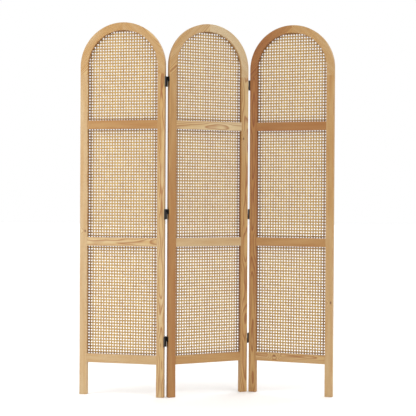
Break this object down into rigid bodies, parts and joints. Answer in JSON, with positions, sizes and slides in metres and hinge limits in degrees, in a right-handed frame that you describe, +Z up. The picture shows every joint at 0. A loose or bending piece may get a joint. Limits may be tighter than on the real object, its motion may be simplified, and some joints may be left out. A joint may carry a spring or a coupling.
{
  "type": "folding room divider screen",
  "caption": "Free-standing folding screen: arched pine frames with cane webbing, joined by two-way hinges so each outer panel folds to the front or the back.",
  "frame": {"origin": "on the floor under the middle of the bounding box, with the screen standing half folded in a zigzag", "axes": "+Z up; +X across the screen, from the left panel to the right panel seen from the front; +Y from the front to the back, the beads and rebates being at the back"},
  "size_m": [1.163, 0.2086, 1.7],
  "materials": {
    "pine": "clear matt lacquer over planed and sanded pine",
    "cane": "natural woven rattan cane, outer skin with a low sheen",
    "bead_pine": "clear matt lacquer over moulded pine",
    "dowel_beech": "turned beech, unfinished",
    "hinge_steel": "satin black coated pressed steel",
    "pin_steel": "black coated steel pin",
    "screw_steel": "black coated steel screw"
  },
  "bodies": {
    "centre_panel": {"centre_panel_bottom_rail": "pine", "centre_panel_dowels": "dowel_beech", "centre_panel_hinge_screws": "screw_steel", "centre_panel_left_arch": "pine", "centre_panel_left_stile": "pine", "centre_panel_lower_webbing": "cane", "centre_panel_middle_rail": "pine", "centre_panel_middle_webbing": "cane", "centre_panel_right_arch": "pine", "centre_panel_right_stile": "pine", "centre_panel_upper_rail": "pine", "centre_panel_upper_webbing": "cane", "centre_panel_webbing_beads": "bead_pine", "left_hinge_low_back_leaf": "hinge_steel", "left_hinge_middle_back_leaf": "hinge_steel", "left_hinge_top_back_leaf": "hinge_steel", "right_hinge_low_front_leaf": "hinge_steel", "right_hinge_middle_front_leaf": "hinge_steel", "right_hinge_top_front_leaf": "hinge_steel"},
    "left_links": {"left_hinge_low_link": "hinge_steel", "left_hinge_middle_link": "hinge_steel", "left_hinge_pins": "pin_steel", "left_hinge_top_link": "hinge_steel"},
    "left_panel": {"left_hinge_low_front_leaf": "hinge_steel", "left_hinge_middle_front_leaf": "hinge_steel", "left_hinge_top_front_leaf": "hinge_steel", "left_panel_bottom_rail": "pine", "left_panel_dowels": "dowel_beech", "left_panel_hinge_screws": "screw_steel", "left_panel_left_arch": "pine", "left_panel_left_stile": "pine", "left_panel_lower_webbing": "cane", "left_panel_middle_rail": "pine", "left_panel_middle_webbing": "cane", "left_panel_right_arch": "pine", "left_panel_right_stile": "pine", "left_panel_upper_rail": "pine", "left_panel_upper_webbing": "cane", "left_panel_webbing_beads": "bead_pine"},
    "right_links": {"right_hinge_low_link": "hinge_steel", "right_hinge_middle_link": "hinge_steel", "right_hinge_pins": "pin_steel", "right_hinge_top_link": "hinge_steel"},
    "right_panel": {"right_hinge_low_back_leaf": "hinge_steel", "right_hinge_middle_back_leaf": "hinge_steel", "right_hinge_top_back_leaf": "hinge_steel", "right_panel_bottom_rail": "pine", "right_panel_dowels": "dowel_beech", "right_panel_hinge_screws": "screw_steel", "right_panel_left_arch": "pine", "right_panel_left_stile": "pine", "right_panel_lower_webbing": "cane", "right_panel_middle_rail": "pine", "right_panel_middle_webbing": "cane", "right_panel_right_arch": "pine", "right_panel_right_stile": "pine", "right_panel_upper_rail": "pine", "right_panel_upper_webbing": "cane", "right_panel_webbing_beads": "bead_pine"}
  },
  "joints": [
    {"name": "left_back_pins", "type": "hinge", "parent": "centre_panel", "child": "left_links", "pos_m": [-0.18296, -0.07595, 0], "axis": [0, 0, -1], "range_deg": [-38.5, 141.5]},
    {"name": "left_front_pins", "type": "hinge", "parent": "left_links", "child": "left_panel", "pos_m": [-0.18865, -0.10081, 0], "axis": [0, 0, 1], "range_deg": [0, 90]},
    {"name": "right_front_pins", "type": "hinge", "parent": "centre_panel", "child": "right_links", "pos_m": [0.19511, 0.07691, 0], "axis": [0, 0, -1], "range_deg": [-46, 134]},
    {"name": "right_back_pins", "type": "hinge", "parent": "right_links", "child": "right_panel", "pos_m": [0.204, 0.10081, 0], "axis": [0, 0, 1], "range_deg": [0, 90]}
  ]
}
